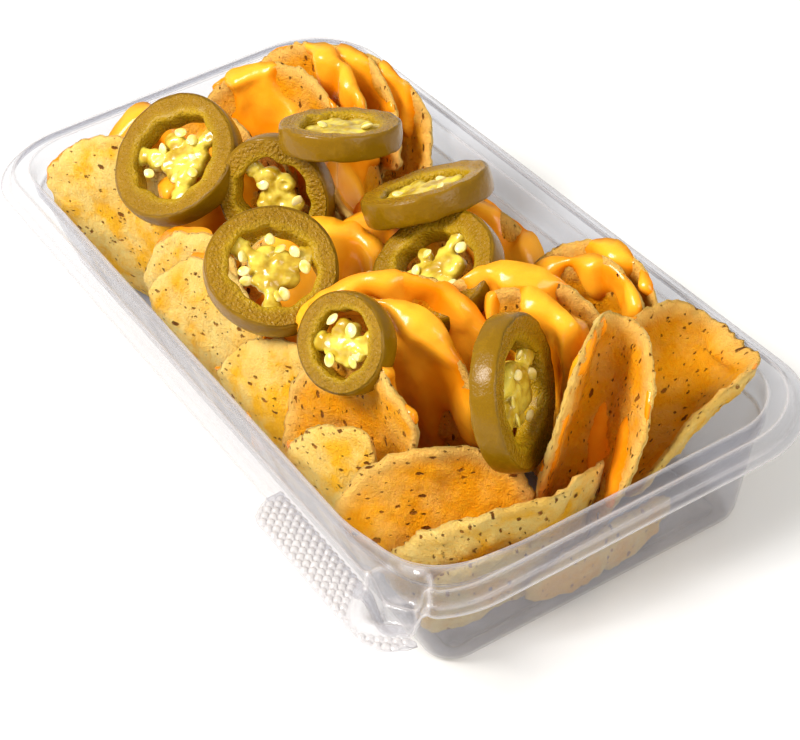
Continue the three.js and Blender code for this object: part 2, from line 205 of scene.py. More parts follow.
class StageSettings(bpy.types.PropertyGroup):
    lens: FloatProperty(name="Lens", description="Focal length", default=92.6, subtype="DISTANCE_CAMERA")
    key_power: FloatProperty(name="Key", description="Power of the key light", default=20.0, unit="POWER")
    fill_power: FloatProperty(name="Fill", description="Power of the fill light", default=8.0, unit="POWER")
    sky: FloatProperty(name="Surround", description="Strength of the plain surround", default=0.5, min=0)
    floor: colour_setting("Floor", "Plain floor", "#F3F3F1")


# ------------------------------------------------------------------ helpers

def settings(name):
    return getattr(bpy.context.scene, "nachos_" + name)


def add(tree, kind, inputs=None, **options):
    """Adds a node with its options, sets its inputs, and links those that come from another node."""
    node = tree.nodes.new(kind)
    for key, value in options.items():
        setattr(node, key, value)
    for key, value in (inputs or {}).items():
        if isinstance(value, bpy.types.NodeSocket):
            tree.links.new(value, node.inputs[key])
        else:
            node.inputs[key].default_value = value
    return node


def new_material(name):
    material = bpy.data.materials.new(name)
    material.use_nodes = True
    material.node_tree.nodes.clear()
    return material, material.node_tree


def opaque(colour):
    return (*colour, 1.0)


def to_frame(points):
    """Rim frame in millimetres to the shared frame in metres."""
    return (np.asarray(points, float) + RIM_ORIGIN) * MM


def new_piece(name, points, faces, materials, marks=None, face_materials=None):
    """Makes a mesh piece from points in the rim frame. marks holds values for each point, by name."""
    mesh = bpy.data.meshes.new(name)
    mesh.from_pydata(to_frame(points).tolist(), [], [tuple(int(i) for i in face) for face in faces])
    for mark, values in (marks or {}).items():
        values = np.asarray(values, np.float32)
        if values.ndim == 2:
            mesh.attributes.new(mark, "FLOAT_VECTOR", "POINT").data.foreach_set("vector", values.ravel())
        else:
            mesh.attributes.new(mark, "FLOAT", "POINT").data.foreach_set("value", values)
    for material in materials:
        mesh.materials.append(material)
    if face_materials is not None:
        mesh.polygons.foreach_set("material_index", np.asarray(face_materials, np.int32))
    mesh.polygons.foreach_set("use_smooth", [True] * len(mesh.polygons))
    mesh.validate()
    mesh.update()
    piece = bpy.data.objects.new(name, mesh)
    bpy.context.scene.collection.objects.link(piece)
    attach(piece, BODY)
    return piece


def joined(parts):
    """Several (points, faces, marks) as one."""
    points, faces, marks, start = [], [], {}, 0
    for part_points, part_faces, part_marks in parts:
        points.append(part_points)
        faces.extend([tuple(i + start for i in face) for face in part_faces])
        for key, values in part_marks.items():
            marks.setdefault(key, []).append(values)
        start += len(part_points)
    return np.concatenate(points), faces, {key: np.concatenate(values) for key, values in marks.items()}


class Lumps:
    """Smooth random heights over a plane, from a few sums of turned waves. Same seed, same lumps."""

    def __init__(self, seed, size, count=9):
        dice = random.Random(seed)
        self.waves = []
        for _ in range(count):
            turn = dice.uniform(0, 2 * math.pi)
            rate = 2 * math.pi / (size * dice.uniform(0.7, 1.7))
            self.waves.append((rate * math.cos(turn), rate * math.sin(turn), dice.uniform(0, 2 * math.pi)))

    def __call__(self, x, y):
        total = sum(np.sin(a * x + b * y + c) for a, b, c in self.waves)
        return total / math.sqrt(len(self.waves) / 2)


def smooth_step(low, high, value):
    t = np.clip((value - low) / (high - low), 0, 1)
    return t * t * (3 - 2 * t)


def facing(face, tilt, spin=0):
    """Columns of a piece's own frame: level, upward, and out of the side that it faces."""
    turn, lift = math.radians(face), math.radians(tilt)
    outward = np.array([math.sin(turn) * math.cos(lift), -math.cos(turn) * math.cos(lift), math.sin(lift)])
    level = np.array([math.cos(turn), math.sin(turn), 0.0])
    basis = np.stack([level, np.cross(outward, level), outward], axis=1)
    c, s = math.cos(math.radians(spin)), math.sin(math.radians(spin))
    return basis @ np.array([[c, -s, 0], [s, c, 0], [0, 0, 1.0]])


def wall_depth(points):
    """How far points are past the inside of the wall (below zero inside it), and which way is out."""
    reach = np.interp(points[..., 2], WALL_HEIGHTS, WALL_REACHES)
    corner = np.maximum(RIM_CORNER + reach, 3)
    over_x = np.abs(points[..., 0]) - (RIM_HALF[0] + reach - corner)
    over_y = np.abs(points[..., 1]) - (RIM_HALF[1] + reach - corner)
    out_x, out_y = np.maximum(over_x, 0), np.maximum(over_y, 0)
    away = np.hypot(out_x, out_y)
    outward = np.stack([out_x * np.sign(points[..., 0]), out_y * np.sign(points[..., 1])], axis=-1)
    depth = away + np.minimum(np.maximum(over_x, over_y), 0) - corner
    return depth, outward / np.maximum(away, 1e-6)[..., None]


def leaned_in(points, clearance):
    """Points past the wall come back to it, so that a chip bends along the wall that it leans on."""
    depth, outward = wall_depth(points)
    depth = depth + clearance
    push = np.where(depth < -2, 0, np.where(depth > 2, depth, (depth + 2) ** 2 / 8))
    push = push * (1 - smooth_step(-2, 1, points[..., 2]))
    moved = points.copy()
    moved[..., :2] -= outward * push[..., None]
    return moved


# ------------------------------------------------------------------ chips

GRID = 47  # points along each side of a chip's grid, one a little over a millimetre
EDGE_ROUND = 1.0  # how far from its rim a chip starts to thin
CHIP_CLEARANCE = 1.5  # from the wall to the middle of a chip that leans on it
CHIP_SPACING = 1.7  # between the middles of two chips that meet
WALL_LEAN = 6.0  # how much of a chip may press past the wall and be bent back along it
FLOOR_HEIGHT = -33.1
FLOOR_CLEARANCE = 1.3
BLISTERS = 80  # on each side of a chip


def disc_grid(count):
    """A square grid bent to a disc, as share of the radius and turn, with its faces and its border."""
    line = np.linspace(-1, 1, count)
    a, b = np.meshgrid(line, line, indexing="ij")
    wide = np.abs(a) > np.abs(b)
    safe_a, safe_b = np.where(a == 0, 1, a), np.where(b == 0, 1, b)
    share = np.where(wide, np.abs(a), np.abs(b))
    turn = np.where(wide, math.pi / 4 * b / safe_a, math.pi / 2 - math.pi / 4 * a / safe_b)
    turn = turn + np.where(np.where(wide, a, b) < 0, math.pi, 0)
    turn = np.where(share == 0, 0, turn)
    places = np.arange(count * count).reshape(count, count)
    faces = np.stack([places[:-1, :-1], places[1:, :-1], places[1:, 1:], places[:-1, 1:]], axis=-1)
    faces = faces.reshape(-1, 4).tolist()
    border = [*places[:-1, 0], *places[-1, :-1], *places[:0:-1, -1], *places[0, :0:-1]]
    return share.ravel(), turn.ravel(), faces, border


class Chip:
    """The shape of one chip: where its middle surface, its faces and its sauce are."""

    def __init__(self, name, seed, earlier):
        (self.middle, face, tilt, self.bend, roll, self.radius, self.fold, self.squash,
         self.sauce_face, self.sauce_back) = CHIPS[name]
        self.basis = facing(face, tilt)
        self.roll = math.radians(roll)
        self.seed = seed
        dice = random.Random(seed)
        self.tone = dice.uniform(0, 1)
        self.clearance = CHIP_CLEARANCE + (0 if name == "chip_corner" else dice.uniform(0, 1.8))
        self.broad = Lumps(seed + 1, 34)
        self.fine = Lumps(seed + 2, 12)
        self.rim_wave = [(k, dice.uniform(0, 2 * math.pi), dice.uniform(0.3, 1.0)) for k in (2, 3, 5)]
        self.outline = [(k, dice.uniform(0, 2 * math.pi), dice.uniform(0.3, 0.8)) for k in (2, 3, 4, 7)]
        self.nibbles = Lumps(seed + 6, 7)
        self.blisters = {}
        for side in (1, -1):
            self.blisters[side] = [
                (dice.uniform(-1, 1) * self.radius, dice.uniform(-1, 1) * self.radius,
                 dice.uniform(1.4, 4.8), dice.uniform(0.35, 1.0))
                for _ in range(BLISTERS)
            ]
        self.pool = {1: Lumps(seed + 3, 26), -1: Lumps(seed + 4, 22)}
        self.streak = Lumps(seed + 5, 9)
        self.turns = np.linspace(0, 2 * math.pi, 181)
        self.reaches = self.find_reaches(earlier)

    def waves(self, s, t):
        """How far the middle surface stands off the plain roll."""
        wave = settings("chips").wave / MM
        share = np.hypot(s, t) / self.radius
        angle = np.arctan2(t, s)
        lift = 0.5 * self.broad(s, t) + 0.2 * self.fine(s, t)
        for count, start, height in self.rim_wave:
            lift = lift + 0.6 * height * share ** 3 * np.sin(count * angle + start)
        return wave * lift

    def surface(self, s, t, free=False):
        """Points of the middle surface, for places measured flat on the chip."""
        bend, fold = abs(self.bend), math.radians(self.fold)
        arc = np.minimum(np.abs(s), bend * fold)
        beyond = np.abs(s) - arc
        turn = arc / bend
        across = np.sign(s) * (bend * np.sin(turn) + beyond * np.cos(turn))
        rise = math.copysign(1, self.bend) * (bend * (1 - np.cos(turn)) + beyond * np.sin(turn))
        rise = rise + self.waves(s, t)
        c, d = math.cos(self.roll), math.sin(self.roll)
        local = np.stack([across * c - t * d, across * d + t * c, rise], axis=-1)
        points = local @ self.basis.T + np.array(self.middle, float)
        return points if free else leaned_in(points, self.clearance)

    def near(self, points, spacing):
        """Which points are so close to this chip that another chip has to end there."""
        local = (points - np.array(self.middle, float)) @ self.basis
        c, d = math.cos(self.roll), math.sin(self.roll)
        across, t = local[..., 0] * c + local[..., 1] * d, local[..., 1] * c - local[..., 0] * d
        bend, fold = abs(self.bend), math.radians(self.fold)
        beyond = np.maximum(np.abs(across) - bend * math.sin(fold), 0) / math.cos(fold)
        turn = np.arcsin(np.clip(np.abs(across) / bend, 0, math.sin(fold)))
        s = np.sign(across) * (bend * turn + beyond)
        rise = math.copysign(1, self.bend) * (bend * (1 - np.cos(turn)) + beyond * np.sin(turn))
        height = (local[..., 2] - rise - self.waves(s, t)) * np.cos(turn)
        way = np.arctan2(t / self.squash, s) % (2 * math.pi)
        return (np.abs(height) < spacing) & (np.hypot(s, t) < np.interp(way, self.turns, self.reaches) + 0.6)

    def normal(self, s, t):
        step = 0.3
        along_s = self.surface(s + step, t) - self.surface(s - step, t)
        along_t = self.surface(s, t + step) - self.surface(s, t - step)
        normal = np.cross(along_s, along_t)
        return normal / np.linalg.norm(normal, axis=-1, keepdims=True)

    def find_reaches(self, earlier):
        """How far the chip goes in each direction before its rim, the tray or a chip placed earlier."""
        rim = 1 + 0.012 * sum(h * np.sin(k * self.turns + p) for k, p, h in self.outline)
        oblong = np.hypot(np.cos(self.turns), np.sin(self.turns) * self.squash)
        along = np.arctan2(np.sin(self.turns) * self.squash, np.cos(self.turns))
        steps = np.linspace(0.15, 1, 70)[None, :] * (self.radius * rim * oblong)[:, None]
        lines = self.surface(steps * np.cos(along)[:, None], steps * np.sin(along)[:, None], free=True)
        kept = (lines[..., 2] > FLOOR_HEIGHT + FLOOR_CLEARANCE) & ((wall_depth(lines)[0] < WALL_LEAN) | (lines[..., 2] > 1.0))
        for other in earlier:
            kept &= ~other.near(lines, CHIP_SPACING)
        stop = np.where(kept.all(axis=1), steps.shape[1], np.argmin(kept, axis=1))
        ring = steps[np.arange(len(stop)), np.maximum(stop - 1, 0)][:-1]
        ring = np.min([np.roll(ring, k) for k in range(-2, 3)], axis=0)
        for _ in range(8):
            ring = (np.roll(ring, 1) + 2 * ring + np.roll(ring, -1)) / 4
        return np.append(ring, ring[0])

    def flat_places(self, share, turn, rough=1.0):
        reach = np.interp(turn % (2 * math.pi), self.turns, self.reaches)
        around = self.radius
        reach = reach + 0.26 * rough * self.nibbles(np.cos(turn) * around, np.sin(turn) * around)
        reach = reach + 0.14 * rough * self.nibbles(np.cos(turn) * around * 3.1, np.sin(turn) * around * 3.1)
        along = np.arctan2(np.sin(turn) * self.squash, np.cos(turn))
        # an oblong chip keeps its cuts by the wall and the floor, so its squash only turns the direction
        return share * reach * np.cos(along), share * reach * np.sin(along), (1 - share) * reach

    def blistered(self, s, t, side):
        height = np.zeros_like(s)
        for x, y, size, tall in self.blisters[side]:
            near = np.clip(1 - ((s - x) ** 2 + (t - y) ** 2) / size ** 2, 0, 1)
            height = np.maximum(height, tall * near ** 1.5 * min(size / 3.5, 1))
        return height


def chip_shapes():
    """All chips by name. Those placed earlier stay whole and those placed later end where they meet them."""
    chips = {}
    for index, name in enumerate(CHIPS):
        chips[name] = Chip(name, 100 + 10 * index, list(chips.values()))
    return chips


def closed_disc(chip, count, offsets, rim_offset, marks, rough=1.0):
    """A closed sheet over a chip: offsets gives each side's distance from the middle surface."""
    share, turn, faces, border = disc_grid(count)
    share = 1 - (1 - share) ** 1.12
    s, t, from_edge = chip.flat_places(share, turn, rough)
    middle, normal = chip.surface(s, t), chip.normal(s, t)
    tops = middle + normal * offsets(s, t, from_edge, 1)[:, None]
    under = middle - normal * offsets(s, t, from_edge, -1)[:, None]
    bs, bt = s[border], t[border]
    length = np.maximum(np.hypot(bs, bt), 1e-6)
    out = rim_offset(bs, bt)
    ring = chip.surface(bs * (1 + out / length), bt * (1 + out / length))
    n = len(s)
    points = np.concatenate([tops, under, ring])
    all_faces = list(faces) + [tuple(n + i for i in reversed(face)) for face in faces]
    ring_start = 2 * n
    total = len(border)
    for i in range(total):
        j = (i + 1) % total
        a, b = border[i], border[j]
        all_faces.append((b, a, ring_start + i, ring_start + j))
        all_faces.append((ring_start + j, ring_start + i, n + a, n + b))
    values = {}
    for key, func in marks.items():
        values[key] = np.concatenate([
            func(s, t, from_edge, 1), func(s, t, from_edge, -1), func(bs, bt, np.zeros(total), 0),
        ])
    return points, all_faces, values


def chip_body(chip):
    half = settings("chips").thickness / MM / 2
    blister = settings("chips").blister / MM

    def offsets(s, t, from_edge, side):
        rounding = np.sqrt(np.clip(1 - (1 - np.clip(from_edge / EDGE_ROUND, 0, 1)) ** 2 * 0.8, 0, 1))
        lift = blister * chip.blistered(s, t, side) * smooth_step(0, 3, from_edge)
        coarse = 0.13 * chip.fine(s * 3.1, t * 3.1 + side * 9)
        fine = 0.07 * chip.nibbles(s * 4.3, t * 4.3 - side * 5)
        return half * rounding + lift + coarse + fine

    def bubble(s, t, from_edge, side):
        return chip.blistered(s, t, side) if side else np.zeros_like(s)

    def flat(s, t, from_edge, side):
        across, along = s + 90 * (chip.seed % 7), t + 70 * (chip.seed % 11)
        return np.stack([across, along, np.full_like(s, 1.5 * side)], axis=-1)

    # 1 on the hollow side of a chip and 0 on the round side: where the material paints shade into the hollow
    def hollow(s, t, from_edge, side):
        return np.full_like(s, side * math.copysign(1, chip.bend) * 0.5 + 0.5)

    marks = {
        "flat": flat,
        "rim": lambda s, t, from_edge, side: 1 - smooth_step(0.2, 4.5, from_edge),
        "hollow": hollow,
        "bubble": bubble,
        "tone": lambda s, t, from_edge, side: np.full_like(s, chip.tone),
    }
    return closed_disc(chip, GRID, offsets, lambda s, t: np.full_like(s, 0.45), marks)


def corn_chip_material():
    """Fried corn tortilla: stone-ground masa fried in oil. Matt gold with toasted blisters, dark hull specks
    and a faint oily sheen."""
    p = settings("chips")
    material, tree = new_material("fried_corn_tortilla")
    flat = add(tree, "ShaderNodeAttribute", attribute_name="flat").outputs["Vector"]
    rim = add(tree, "ShaderNodeAttribute", attribute_name="rim").outputs["Fac"]
    bubble = add(tree, "ShaderNodeAttribute", attribute_name="bubble").outputs["Fac"]
    tone = add(tree, "ShaderNodeAttribute", attribute_name="tone").outputs["Fac"]
    hollow = add(tree, "ShaderNodeAttribute", attribute_name="hollow").outputs["Fac"]
    # patches about 9 mm across where the frying oil was hotter
    patch = add(tree, "ShaderNodeTexNoise", {"Vector": flat, "Scale": 0.11, "Detail": 4.0, "Roughness": 0.6})
    share = add(tree, "ShaderNodeMapRange", {
        "Value": patch.outputs["Fac"], "From Min": 0.4, "From Max": 0.66,
    }, interpolation_type="SMOOTHSTEP")
    toned = add(tree, "ShaderNodeMath", {0: tone, 1: 0.3, 2: share.outputs["Result"]},
                operation="MULTIPLY_ADD")
    body = add(tree, "ShaderNodeMix", {0: toned.outputs[0], 6: opaque(p.pale), 7: opaque(p.gold)},
               data_type="RGBA", clamp_factor=True)
    # painted shade: the hollow side of a chip is painted a deeper orange in patches, for the shade and bounced
    # light that fill its hollow
    oiled = add(tree, "ShaderNodeMapRange", {
        "Value": patch.outputs["Fac"], "From Min": 0.3, "From Max": 0.6, "To Min": 0.62, "To Max": 1.0,
    })
    oil_share = add(tree, "ShaderNodeMath", {0: hollow, 1: oiled.outputs["Result"]}, operation="MULTIPLY")
    rich = add(tree, "ShaderNodeMix", {0: oil_share.outputs[0], 6: body.outputs[2], 7: opaque(p.oiled)},
               data_type="RGBA", clamp_factor=True)
    # corn grit about 0.5 mm
    grit = add(tree, "ShaderNodeTexNoise", {"Vector": flat, "Scale": 0.75, "Detail": 5.0, "Roughness": 0.78})
    grain = add(tree, "ShaderNodeMapRange", {
        "Value": grit.outputs["Fac"], "From Min": 0.42, "From Max": 0.66, "To Min": 0.0, "To Max": 0.45,
    })
    grained = add(tree, "ShaderNodeMix", {0: grain.outputs["Result"], 6: rich.outputs[2], 7: opaque(p.gold)},
                  data_type="RGBA")
    # the rim fries dry and stays pale
    dry = add(tree, "ShaderNodeMath", {0: rim, 1: 0.5}, operation="MULTIPLY")
    dried = add(tree, "ShaderNodeMix", {0: dry.outputs[0], 6: grained.outputs[2], 7: opaque(p.pale)},
                data_type="RGBA")
    browned = add(tree, "ShaderNodeMath", {0: bubble, 1: 0.42}, operation="MULTIPLY")
    edged = add(tree, "ShaderNodeMath", {0: rim, 1: 0.12}, operation="MULTIPLY")
    both = add(tree, "ShaderNodeMath", {0: browned.outputs[0], 1: edged.outputs[0]}, operation="MAXIMUM")
    broken = add(tree, "ShaderNodeMath", {0: both.outputs[0], 1: patch.outputs["Fac"]}, operation="MULTIPLY")
    doubled = add(tree, "ShaderNodeMath", {0: broken.outputs[0], 1: 1.5}, operation="MULTIPLY")
    toasted = add(tree, "ShaderNodeMix", {
        0: doubled.outputs[0], 6: dried.outputs[2], 7: opaque(p.toast),
    }, data_type="RGBA", clamp_factor=True)
    wander = add(tree, "ShaderNodeTexNoise", {"Vector": flat, "Scale": 1.3, "Detail": 2.0})
    bent = add(tree, "ShaderNodeVectorMath", {0: wander.outputs["Color"], 1: (0.9, 0.9, 0.9), 2: flat},
               operation="MULTIPLY_ADD").outputs[0]
    # hull specks 1 to 2.5 mm long drawn out along the sheeting direction, then finer dots
    colour, dents = toasted.outputs[2], grit.outputs["Fac"]
    for scale, lots_from, largest, share_most in (
            ((0.52, 0.27, 0.4), 0.3, 0.33, 0.95), ((0.85, 0.5, 0.7), 0.42, 0.31, 0.85)):
        stretch = add(tree, "ShaderNodeMapping", {"Vector": bent, "Scale": scale})
        cells = add(tree, "ShaderNodeTexVoronoi", {"Vector": stretch.outputs[0], "Scale": 1.0})
        lot = add(tree, "ShaderNodeSeparateColor", {"Color": cells.outputs["Color"]})
        size = add(tree, "ShaderNodeMapRange", {
            "Value": lot.outputs[0], "From Min": lots_from, "From Max": 1.0, "To Min": 0.0, "To Max": largest,
        })
        inside = add(tree, "ShaderNodeMath", {0: size.outputs["Result"], 1: cells.outputs["Distance"]},
                     operation="SUBTRACT")
        speck = add(tree, "ShaderNodeMapRange", {
            "Value": inside.outputs[0], "From Min": -0.02, "From Max": 0.11, "To Max": share_most,
        }, interpolation_type="SMOOTHSTEP")
        burnt = add(tree, "ShaderNodeMix", {0: lot.outputs[1], 6: opaque(p.speck), 7: opaque(p.husk)},
                    data_type="RGBA")
        colour = add(tree, "ShaderNodeMix", {
            0: speck.outputs["Result"], 6: colour, 7: burnt.outputs[2],
        }, data_type="RGBA").outputs[2]
        dents = add(tree, "ShaderNodeMath", {0: dents, 1: speck.outputs["Result"]},
                    operation="SUBTRACT").outputs[0]
    pits = add(tree, "ShaderNodeTexNoise", {"Vector": flat, "Scale": 2.1, "Detail": 3.0, "Roughness": 0.7})
    rough = add(tree, "ShaderNodeMath", {0: pits.outputs["Fac"], 1: 0.55, 2: dents}, operation="MULTIPLY_ADD")
    bump = add(tree, "ShaderNodeBump", {"Strength": 1.0, "Distance": 0.0013, "Height": rough.outputs[0]})
    shine = add(tree, "ShaderNodeMapRange", {
        "Value": patch.outputs["Fac"], "From Min": 0.3, "From Max": 0.7, "To Min": 0.34, "To Max": 0.55,
    })
    shader = add(tree, "ShaderNodeBsdfPrincipled", {
        "Base Color": colour, "Roughness": shine.outputs["Result"], "IOR": 1.47, "Specular IOR Level": 0.1,
        "Normal": bump.outputs[0], "Subsurface Weight": 0.05, "Subsurface Radius": (1.0, 0.5, 0.1),
        "Subsurface Scale": 0.001,
    })
    add(tree, "ShaderNodeOutputMaterial", {"Surface": shader.outputs[0]})
    return material


class NACHOS_OT_chips(bpy.types.Operator):
    """Makes the corn chips, each blistered and bent, in place of the plain discs"""

    bl_idname = "nachos.chips"
    bl_label = "Corn chips"

    def execute(self, context):
        material = corn_chip_material()
        for name, chip in chip_shapes().items():
            points, faces, marks = chip_body(chip)
            piece = new_piece(name + "_fried", points, faces, [material], marks)
            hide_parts(name)
        return {"FINISHED"}


# ------------------------------------------------------------------ cheese sauce

SAUCE_GRID = 51
BURIED = 0.45  # how far the sauce's skin lies inside the chip where there is no sauce
TIGHT_FOLD = 14.0  # rolls tighter than this have room for less sauce


def sauce_body(chip):
    half = settings("chips").thickness / MM / 2
    blister = settings("chips").blister / MM
    # in a tight fold there is only room for a thin layer
    deep = settings("sauce").depth / MM * min(1, abs(chip.bend) / TIGHT_FOLD)

    def depth(s, t, side):
        cover = {1: chip.sauce_face, -1: chip.sauce_back}[side]
        if cover == 0:
            return np.zeros_like(s)
        level = 1.3 - 2.5 * cover
        c, d = math.cos(chip.roll), math.sin(chip.roll)
        up, level_way = (s * d + t * c) / chip.radius, s * c - t * d
        runs = chip.streak(level_way * 0.8, up * chip.radius * 0.16 + side * 20)
        field = 0.8 * chip.pool[side](s, t) + 0.4 * runs + 0.5 * up - level
        body = smooth_step(-0.1, 0.7, field)
        folds = 0.6 + 0.22 * runs + 0.22 * chip.pool[-side](s * 1.2, t * 0.8)
        return deep * (1 - (1 - body) ** 2) * np.clip(folds, 0.3, 1.5)

    def offsets(s, t, from_edge, side):
        rounding = np.sqrt(np.clip(1 - (1 - np.clip(from_edge / 1.8, 0, 1)) ** 2 * 0.75, 0, 1))
        own = depth(s, t, side)
        lift = blister * chip.blistered(s, t, side) * smooth_step(0, 3, from_edge) * 0.5
        return half * rounding - BURIED + own * (0.35 + 0.65 * rounding) * 1.25 + lift

    def rim_offset(s, t):
        return -0.3 + 0.75 * np.maximum(depth(s, t, 1), depth(s, t, -1))

    marks = {
        "depth": lambda s, t, from_edge, side: depth(s, t, side) if side else 0.5 * depth(s, t, 1),
    }
    return closed_disc(chip, SAUCE_GRID, offsets, rim_offset, marks, 0.3)


def sauce_material():
    """Warm cheese sauce: a smooth emulsion poured on. Opaque golden orange, wet, with soft light inside."""
    p = settings("sauce")
    material, tree = new_material("melted_cheese_sauce")
    depth = add(tree, "ShaderNodeAttribute", attribute_name="depth").outputs["Fac"]
    place = add(tree, "ShaderNodeTexCoord").outputs["Object"]
    # slow swirls about 12 mm across, where the sauce ran in folds
    swirl = add(tree, "ShaderNodeTexNoise", {"Vector": place, "Scale": 85.0, "Detail": 3.0, "Distortion": 0.8})
    drift = add(tree, "ShaderNodeMapRange", {
        "Value": swirl.outputs["Fac"], "From Min": 0.3, "From Max": 0.7, "To Min": -0.35, "To Max": 0.35,
    })
    share = add(tree, "ShaderNodeMapRange", {"Value": depth, "From Min": 0.2, "From Max": 1.9})
    total = add(tree, "ShaderNodeMath", {0: share.outputs["Result"], 1: drift.outputs["Result"]},
                operation="ADD", use_clamp=True)
    colour = add(tree, "ShaderNodeMix", {0: total.outputs[0], 6: opaque(p.thin), 7: opaque(p.thick)},
                 data_type="RGBA")
    ripple = add(tree, "ShaderNodeTexNoise", {"Vector": place, "Scale": 420.0, "Detail": 2.0})
    bump = add(tree, "ShaderNodeBump", {"Strength": 0.25, "Distance": 0.0004, "Height": ripple.outputs["Fac"]})
    shader = add(tree, "ShaderNodeBsdfPrincipled", {
        "Base Color": colour.outputs[2], "Roughness": 0.24, "IOR": 1.46, "Specular IOR Level": 0.3,
        "Normal": bump.outputs[0], "Coat Weight": 0.18, "Coat Roughness": 0.12, "Subsurface Weight": 0.14,
        "Subsurface Radius": (1.0, 0.5, 0.1), "Subsurface Scale": 0.002,
    })
    add(tree, "ShaderNodeOutputMaterial", {"Surface": shader.outputs[0]})
    return material


class NACHOS_OT_sauce(bpy.types.Operator):
    """Pours the cheese sauce over the chips, in three runs"""

    bl_idname = "nachos.sauce"
    bl_label = "Cheese sauce"

    def execute(self, context):
        material = sauce_material()
        chips = chip_shapes()
        for name, members in SAUCE_GROUPS.items():
            parts = [sauce_body(chips[member]) for member in members]
            points, faces, marks = joined(parts)
            new_piece(name, points, faces, [material], marks)
        return {"FINISHED"}


# ------------------------------------------------------------------ pepper slices

AROUND = 132  # steps round a slice, about 0.7 mm each
CORE_VOXEL = 0.36


def remeshed(points, faces, voxel, smoothing):
    """One even skin round overlapping closed shapes, in the rim frame."""
    mesh = bpy.data.meshes.new("lumps")
    mesh.from_pydata(np.asarray(points).tolist(), [], faces)
    lumps = bpy.data.objects.new("lumps", mesh)
    bpy.context.scene.collection.objects.link(lumps)
    even = lumps.modifiers.new("even", "REMESH")
    even.mode, even.voxel_size, even.adaptivity = "VOXEL", voxel, 0
    soft = lumps.modifiers.new("soft", "SMOOTH")
    soft.factor, soft.iterations = 0.5, smoothing
    made = bpy.data.meshes.new_from_object(lumps.evaluated_get(bpy.context.evaluated_depsgraph_get()))
    co = np.empty(len(made.vertices) * 3)
    made.vertices.foreach_get("co", co)
    out_faces = [tuple(polygon.vertices) for polygon in made.polygons]
    bpy.data.objects.remove(lumps)
    bpy.data.meshes.remove(mesh)
    bpy.data.meshes.remove(made)
    return co.reshape(-1, 3), out_faces


def ball(centre, radii, turn=None, rows=10, columns=16, pinch=0.0):
    """An egg-shaped ball. pinch narrows one end."""
    points = [(0, 0, 1)]
    for i in range(1, rows):
        a = math.pi * i / rows
        for j in range(columns):
            b = 2 * math.pi * j / columns
            points.append((math.sin(a) * math.cos(b), math.sin(a) * math.sin(b), math.cos(a)))
    points.append((0, 0, -1))
    points = np.array(points)
    narrow = 1 - pinch * np.clip(points[:, 0], 0, 1) ** 2
    points[:, 1] *= narrow
    points = points * np.array(radii)
    if turn is not None:
        points = points @ np.array(turn).T
    faces = [(0, 1 + j, 1 + (j + 1) % columns) for j in range(columns)]
    for i in range(rows - 2):
        for j in range(columns):
            a, b = 1 + i * columns + j, 1 + i * columns + (j + 1) % columns
            faces.append((a, a + columns, b + columns, b))
    last, end = 1 + (rows - 2) * columns, len(points) - 1
    faces += [(last + j, end, last + (j + 1) % columns) for j in range(columns)]
    return points + np.array(centre), faces


def pepper_wall(radius, thickness, dice, lobes):
    """The cut wall of a slice: a ring with rounded edges, in the slice's own frame."""
    wall = settings("peppers").wall / MM * radius / 15.5
    half = thickness / 2
    profile = []  # share across the wall from inside to outside, height share, bulge in mm
    profile += [(1, h, 0.32 * (1 - h * h)) for h in (-0.86, -0.6, -0.3, 0, 0.3, 0.6, 0.86)]
    profile += [(0.985, 0.96, 0), (0.94, 1.0, 0), (0.8, 1.0, 0), (0.6, 0.985, 0), (0.42, 0.98, 0),
                (0.25, 0.975, 0), (0.1, 0.93, 0), (0.02, 0.8, 0)]
    profile += [(0, h, 0) for h in (0.5, 0.15, -0.15, -0.5)]
    profile += [(0.02, -0.8, 0), (0.1, -0.93, 0), (0.25, -0.975, 0), (0.42, -0.98, 0), (0.6, -0.985, 0),
                (0.8, -1.0, 0), (0.94, -1.0, 0), (0.985, -0.96, 0)]
    start, skew = dice.uniform(0, 2 * math.pi), dice.uniform(0, 2 * math.pi)
    inner_lumps = [(k, dice.uniform(0, 2 * math.pi), dice.uniform(0.1, 0.35)) for k in (2, 3, 5, 7, 11)]
    face_lumps = Lumps(dice.randrange(10000), 5)
    points, across = [], []
    for i in range(AROUND):
        a = 2 * math.pi * i / AROUND
        outer = radius * (1 + 0.018 * math.cos(lobes * a + start) + 0.012 * math.cos(2 * a + skew))
        inner = outer - wall + 0.3 * math.cos(lobes * a + start + math.pi)
        inner += sum(h * math.sin(k * a + q) for k, q, h in inner_lumps)
        lean = 0.35 * math.sin(a + skew)
        for share, height, bulge in profile:
            r = inner + (outer - inner) * share + bulge
            x, y = r * math.cos(a), r * math.sin(a)
            z = half * height + lean * (share - 0.5)
            if abs(height) > 0.9:
                z += 0.09 * float(face_lumps(x, y)) * math.copysign(1, height)
            points.append((x, y, z))
            across.append(share)
    n = len(profile)
    faces = []
    for i in range(AROUND):
        j = (i + 1) % AROUND
        for k in range(n):
            m = (k + 1) % n
            faces.append((i * n + k, j * n + k, j * n + m, i * n + m))
    return np.array(points), faces, np.array(across, float)


